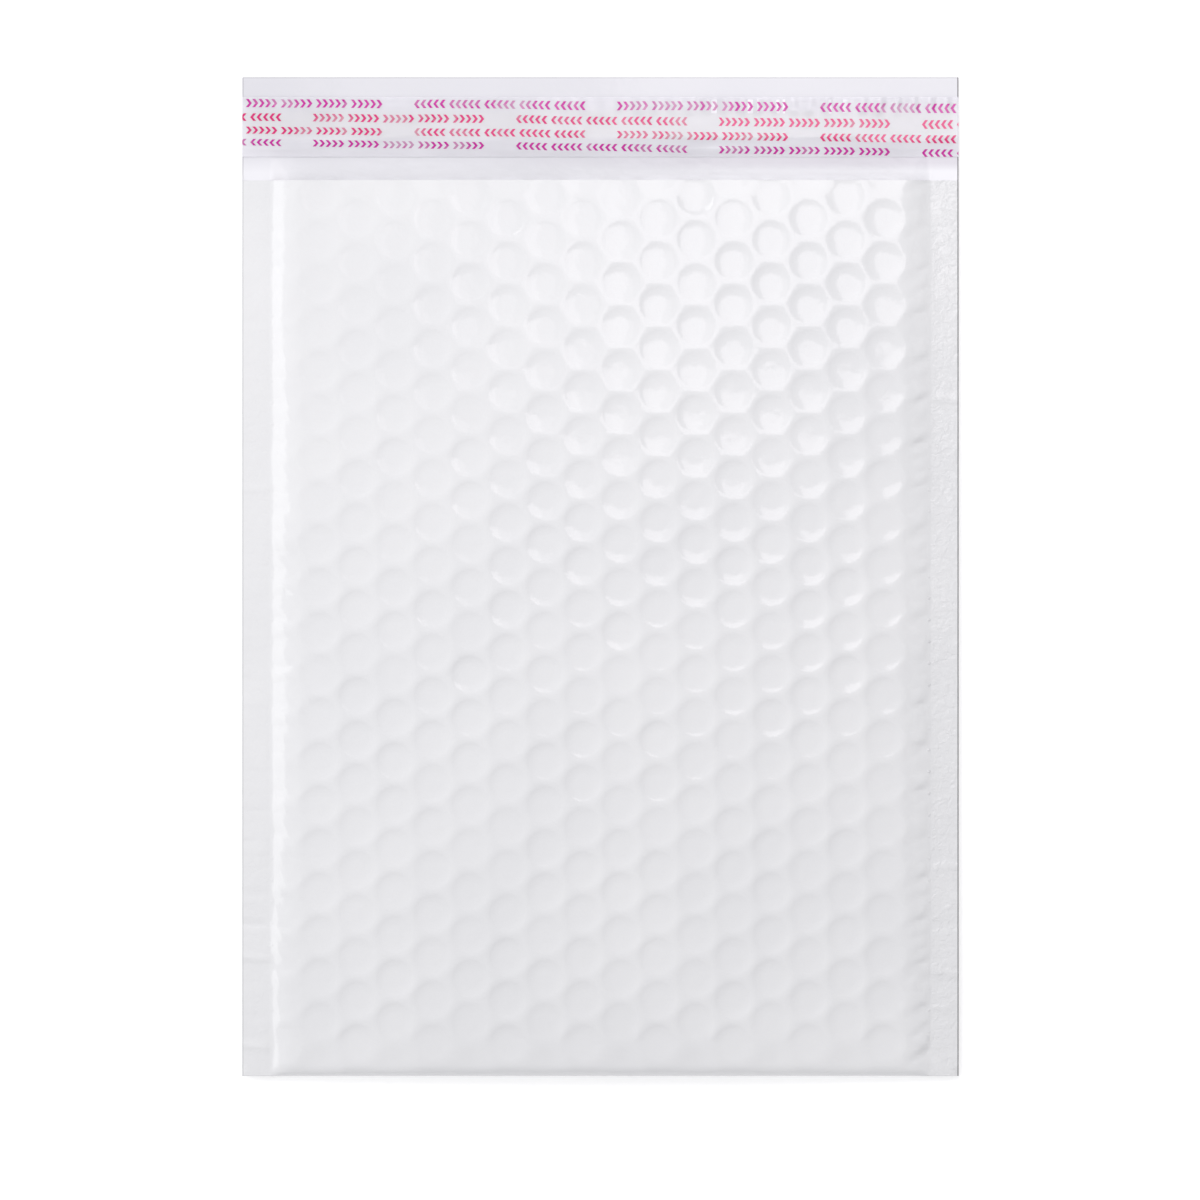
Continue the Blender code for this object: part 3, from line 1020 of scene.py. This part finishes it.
# %% The flat sheet that faces the pocket
FLAT_OUTLINE = 2.9 * MM
FLAT_GAP = 0.33 * MM
bpy.ops.object.select_all(action="DESELECT")
bpy.ops.mesh.primitive_grid_add(x_subdivisions=60, y_subdivisions=72, size=1.0)
flat_ply = bpy.context.object
flat_ply.name = "flat_film_lining"
open_only(flat_ply)
bpy.ops.mesh.select_all(action="SELECT")
flat_width = 2 * (WELD_X - FLAT_OUTLINE)
flat_length = MOUTH_Y - BOTTOM_Y - FLAT_OUTLINE
bpy.ops.transform.resize(value=(flat_width, flat_length, 1), center_override=(0, 0, 0))
bpy.ops.transform.translate(value=(0, MOUTH_Y - flat_length / 2, 0))
for drop in (0.3 * MM, 1.0 * MM, 2.0 * MM):
    cut(flat_ply, (0, BOTTOM_Y + FLAT_OUTLINE + drop, 0), (0, 1, 0), False)
for side in (-1, 1):
    for drop in (0.3 * MM, 1.4 * MM):
        cut(flat_ply, (side * (flat_width / 2 - drop), 0, 0), (1, 0, 0), False)
close_editing()
turn_into_tube(flat_ply, LINING_INSET, LINING_INSET, FLAT_OUTLINE, LINING_FILM, FLAT_GAP)
print("flat sheet:", triangles(flat_ply), "triangles")

# %% Clear film
clear, tree, shader = new_material("clear_bubble_film")
place = object_place(tree)
haze = noise_value(tree, place, 45.0, 4.0)
tint = ramp(tree, haze, ((0.3, (0.80, 0.83, 0.85)), (0.7, (0.88, 0.90, 0.91))))
tree.links.new(tint, shader.inputs["Base Color"])
tree.links.new(scale_range(tree, haze, 0.3, 0.7, 0.42, 0.60), shader.inputs["Alpha"])
fine = noise_value(tree, place, 700.0, 3.0)
bump = add_node(tree, "ShaderNodeBump", {"Strength": 0.3, "Distance": 0.0001, "Height": fine})
tree.links.new(bump.outputs["Normal"], shader.inputs["Normal"])
shader.inputs["Roughness"].default_value = 0.14
for ply in (bubbles, flat_ply):
    ply.data.materials.clear()
    ply.data.materials.append(clear)
    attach(ply, "root")
    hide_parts("bubble_lining")
print("clear film:", len(tree.nodes), "nodes")

# %% [markdown]
# ## The band of glue
#
# Hot-melt glue is rolled onto the flap as a flat cream band. It is soft, so its edges
# wander a little and its surface is uneven. A grid is stretched to the band's size, moved
# up and down with the flap under it, and given its thickness.

# %% Glue band
GLUE_LIFT = 0.12 * MM
GLUE_THICK = 0.3 * MM
GLUE_BEAD = 0.10 * MM
GLUE_MIDDLE = (glue_low.y + glue_high.y) / 2


def new_strip(name, low, high, across, along):
    """A flat grid that fills a box in plan."""
    bpy.ops.object.select_all(action="DESELECT")
    bpy.ops.mesh.primitive_grid_add(x_subdivisions=across, y_subdivisions=along, size=1.0)
    strip = bpy.context.object
    strip.name = name
    open_only(strip)
    bpy.ops.mesh.select_all(action="SELECT")
    bpy.ops.transform.resize(
        value=(high.x - low.x, high.y - low.y, 1), center_override=(0, 0, 0)
    )
    bpy.ops.transform.translate(value=((low.x + high.x) / 2, (low.y + high.y) / 2, 0))
    close_editing()
    return strip


def flap_top(x, y):
    """Upper face of the flap film."""
    return shape_flap(x, y) + FILM


def glue_top(x, y):
    """Upper face of the glue, which bulges a little along both edges of the band."""
    across = abs(y - GLUE_MIDDLE) / (glue_high.y - glue_low.y) * 2
    bead = GLUE_BEAD * math.exp(-(((across - 0.85) / 0.12) ** 2))
    lumps = 0.04 * MM * wander(x, y, 4 * MM, 31)
    return flap_top(x, y) + GLUE_LIFT + GLUE_THICK + bead + lumps


glue = new_strip("glue_band", glue_low, glue_high, 150, 9)
for vertex in glue.data.vertices:
    x, y, _ = vertex.co
    outward = (y - GLUE_MIDDLE) / (glue_high.y - glue_low.y) * 2
    vertex.co.z = glue_top(x, y)
    vertex.co.y = y + 0.22 * MM * wander(x, 0, 7 * MM, 32 + (outward > 0)) * abs(outward) ** 3
add_modifier(glue, "SOLIDIFY", thickness=GLUE_THICK, offset=-1.0, use_rim=True)
add_modifier(glue, "BEVEL", width=0.08 * MM, segments=2, limit_method="ANGLE")
bpy.ops.object.shade_smooth_by_angle(angle=math.radians(50))
print("glue:", triangles(glue), "triangles")

# %% Glue material
sticky, tree, shader = new_material("cream_hot_melt")
place = object_place(tree)
cloud = noise_value(tree, place, 60.0, 4.0, 0.6)
tint = ramp(tree, cloud, ((0.3, (0.74, 0.72, 0.64)), (0.7, (0.82, 0.81, 0.76))))
tree.links.new(tint, shader.inputs["Base Color"])
streak = noise_value(tree, place, 420.0, 3.0)
bump = add_node(tree, "ShaderNodeBump", {"Strength": 0.5, "Distance": 0.0002, "Height": streak})
tree.links.new(bump.outputs["Normal"], shader.inputs["Normal"])
tree.links.new(scale_range(tree, cloud, 0.3, 0.7, 0.30, 0.48), shader.inputs["Roughness"])
glue.data.materials.clear()
glue.data.materials.append(sticky)
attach(glue, "root")
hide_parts("adhesive_strip")
print("glue material:", len(tree.nodes), "nodes")

# %% [markdown]
# ## The strip over the glue
#
# A thin translucent strip covers the glue until it is peeled off. Under it the glue shows
# cream, and past the glue the strip slopes down to the flap, which makes it a shade darker
# there. It is never flat: it has slow waves, long creases where it hangs between the glue
# and the flap, and short ripples along its upper edge.

# %% Release strip
LINER_FILM = 0.1 * MM
LINER_LIFT = 0.12 * MM
BEAD_ROOM = 0.14 * MM
LOWER_START = -1.6 * MM
LOWER_RUN = 6.2 * MM
UPPER_START = 0.3 * MM
UPPER_RUN = 3.0 * MM
HEM_LIFT = 0.08 * MM


def bridge_height(x, y):
    """The strip rides on the glue and slopes down to the flap on both sides of it."""
    glue_half = (glue_high.y - glue_low.y) / 2
    below = y < GLUE_MIDDLE
    past = abs(y - GLUE_MIDDLE) - glue_half - (LOWER_START if below else UPPER_START)
    fall = ease(share(past, LOWER_RUN if below else UPPER_RUN))
    on_glue = flap_top(x, y) + GLUE_LIFT + GLUE_THICK + BEAD_ROOM + LINER_LIFT + LINER_FILM
    at_hem = flap_top(x, y) + LINER_FILM + HEM_LIFT
    return on_glue + (at_hem - on_glue) * fall


def liner_waves(x, y):
    """Slow waves all over, long creases low down, and short ripples near the upper edge."""
    slow = 0.10 * MM * (1 + wander(x, y * 0.6, 13 * MM, 41))
    top = ease(share(y - liner_high.y + 5.5 * MM, 3.5 * MM))
    right = 0.25 + 0.75 * ease(share(x + 10 * MM, 40 * MM))
    ripple = 0.12 * MM * (1 + math.sin(2 * math.pi * x / (4.3 * MM) + wander(x, 0, 20 * MM, 42)))
    wrinkle = 0.07 * MM * (1 + wander(x * 0.35, y, 2.6 * MM, 43))
    low = ease(share(liner_low.y + 6 * MM - y, 2 * MM)) * share(y - liner_low.y, 1.5 * MM)
    long_crease = 0.16 * MM * (1 + wander(x * 0.10, y - 0.03 * x, 1.5 * MM, 44)) * low
    hem = 0.15 + 0.85 * ease(share(y - liner_low.y, 1.6 * MM))
    return (slow + wrinkle + long_crease) * hem + ripple * top * right


liner = new_strip("release_strip", liner_low, liner_high, 300, 20)
for vertex in liner.data.vertices:
    x, y, _ = vertex.co
    vertex.co.z = bridge_height(x, y) + liner_waves(x, y)
add_modifier(liner, "SOLIDIFY", thickness=LINER_FILM, offset=-1.0, use_rim=True)
bpy.ops.object.shade_smooth_by_angle(angle=math.radians(50))
print("strip:", triangles(liner), "triangles")

# %% [markdown]
# ## The print on the strip
#
# The real strip carries four rows of small magenta print. Here the rows hold plain open
# chevrons instead, in runs of the same length that point left and right by turns. The
# pattern is arithmetic on the object's own coordinates: a row number, a run number, and
# the distance to the two arms of a chevron. Thresholds of those give the ink. The strip is
# half see-through, and whiter towards its lower edge and in a few upright patches at its
# upper right. Those patches stand for the blocks of light in the photograph.

# %% Strip material with its chevrons
ROW_PITCH = 3.95
TOP_ROW = 118.35
RUN_PITCH = 51.0
RUN_LENGTH = 44.0
GROUP_PITCH = 8.8
GROUP_LENGTH = 8.0
MARK_PITCH = 1.6
ROW_SLANT = 0.0069
ROW_SPREAD = 0.0028
ROW_SQUASH = 0.045
RUN_START = 97.9
ROW_SHIFT = -25.6
ARM_SLOPE = -0.70
MARK_HALF_HEIGHT = 1.12
ROW_COUNT = 4.0
strip_film, tree, shader = new_material("printed_strip_film")
place = object_place(tree)
axes = add_node(tree, "ShaderNodeSeparateXYZ", {0: place})
u = math_node(tree, "MULTIPLY", axes.outputs[0], 1000.0)
v = math_node(tree, "MULTIPLY", axes.outputs[1], 1000.0)
sway = scale_range(tree, noise_value(tree, place, 40.0, 2.0), 0.2, 0.8, -0.30, 0.30)
level = math_node(tree, "ADD", math_node(tree, "MULTIPLY_ADD", u, ROW_SLANT, v), sway)
drop = math_node(
    tree,
    "DIVIDE",
    math_node(tree, "SUBTRACT", TOP_ROW, level),
    math_node(tree, "MULTIPLY_ADD", u, ROW_SPREAD, ROW_PITCH),
)
squashed = math_node(tree, "MULTIPLY", math_node(tree, "MULTIPLY", drop, drop), ROW_SQUASH)
row = math_node(tree, "ADD", math_node(tree, "ADD", drop, squashed), 0.5)
row_number = math_node(tree, "FLOOR", row)
high = math_node(
    tree,
    "ABSOLUTE",
    math_node(
        tree,
        "MULTIPLY",
        math_node(tree, "SUBTRACT", math_node(tree, "FRACT", row), 0.5),
        ROW_PITCH,
    ),
)
parity = math_node(tree, "PINGPONG", row_number, 1.0)
run = math_node(
    tree,
    "DIVIDE",
    math_node(tree, "ADD", math_node(tree, "MULTIPLY_ADD", parity, ROW_SHIFT, u), RUN_START),
    RUN_PITCH,
)
run_number = math_node(tree, "FLOOR", run)
along = math_node(tree, "MULTIPLY", math_node(tree, "FRACT", run), RUN_PITCH)
heading = math_node(
    tree, "MULTIPLY_ADD", math_node(tree, "PINGPONG", run_number, 1.0), -2.0, 1.0
)
in_group = math_node(
    tree,
    "MULTIPLY",
    math_node(tree, "FRACT", math_node(tree, "DIVIDE", along, GROUP_PITCH)),
    GROUP_PITCH,
)
in_mark = math_node(
    tree,
    "MULTIPLY",
    math_node(
        tree,
        "SUBTRACT",
        math_node(tree, "FRACT", math_node(tree, "DIVIDE", in_group, MARK_PITCH)),
        0.5,
    ),
    MARK_PITCH,
)
arm = math_node(tree, "MULTIPLY_ADD", high, ARM_SLOPE, -ARM_SLOPE / 2)
off_arm = math_node(
    tree,
    "ABSOLUTE",
    math_node(tree, "SUBTRACT", math_node(tree, "MULTIPLY", in_mark, heading), arm),
)
ink = scale_range(tree, off_arm, 0.34, 0.41, 1.0, 0.0)
for value, limit in (
    (high, MARK_HALF_HEIGHT),
    (along, RUN_LENGTH),
    (in_group, GROUP_LENGTH),
    (row, ROW_COUNT),
):
    ink = math_node(tree, "MULTIPLY", ink, math_node(tree, "LESS_THAN", value, limit))
ink = math_node(tree, "MULTIPLY", ink, math_node(tree, "GREATER_THAN", row, 0.0))
worn = scale_range(tree, noise_value(tree, place, 90.0, 4.0, 0.6), 0.36, 0.50, 0.62, 1.0)
ink = math_node(tree, "MULTIPLY", ink, worn, clamp=True)
outer_row = math_node(
    tree,
    "GREATER_THAN",
    math_node(tree, "ABSOLUTE", math_node(tree, "SUBTRACT", row_number, 1.5)),
    1.0,
)
magenta = mix_colour(tree, outer_row, (0.64, 0.004, 0.15, 1), (0.52, 0.004, 0.30, 1))
clouds = noise_value(tree, place, 60.0, 3.0)
milk = ramp(tree, clouds, ((0.3, (0.86, 0.85, 0.90)), (0.7, (0.92, 0.91, 0.96))))
surface = mix_colour(tree, ink, milk, magenta)
tree.links.new(surface, shader.inputs["Base Color"])
hem = scale_range(tree, axes.outputs[1], liner_low.y, liner_low.y + 6.0 * MM, 0.72, 0.52)
# painted highlights: whiter upright patches at the strip's upper right stand in for glare
across = add_node(tree, "ShaderNodeCombineXYZ", {0: u})
painted_glare_noise = noise_value(tree, across.outputs[0], 0.30, 2.0)
patches = scale_range(tree, painted_glare_noise, 0.46, 0.58, 0.0, 0.78)
for value, start, full in (
    (u, 12.0, 30.0),
    (u, 68.0, 60.0),
    (v, 115.4, 116.6),
    (v, 120.4, 119.8),
):
    window = scale_range(tree, value, start, full, 0.0, 1.0)
    patches = math_node(tree, "MULTIPLY", patches, window)
cover = math_node(tree, "MAXIMUM", hem, math_node(tree, "MULTIPLY", ink, 0.97))
cover = math_node(tree, "MAXIMUM", cover, patches)
tree.links.new(cover, shader.inputs["Alpha"])
pucker = noise_value(tree, place, 500.0, 3.0)
bump = add_node(tree, "ShaderNodeBump", {"Strength": 0.4, "Distance": 0.0001, "Height": pucker})
tree.links.new(bump.outputs["Normal"], shader.inputs["Normal"])
shader.inputs["Roughness"].default_value = 0.12
shader.inputs["Specular IOR Level"].default_value = 0.9
liner.data.materials.clear()
liner.data.materials.append(strip_film)
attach(liner, "root")
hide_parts("release_liner")
print("strip material:", len(tree.nodes), "nodes")
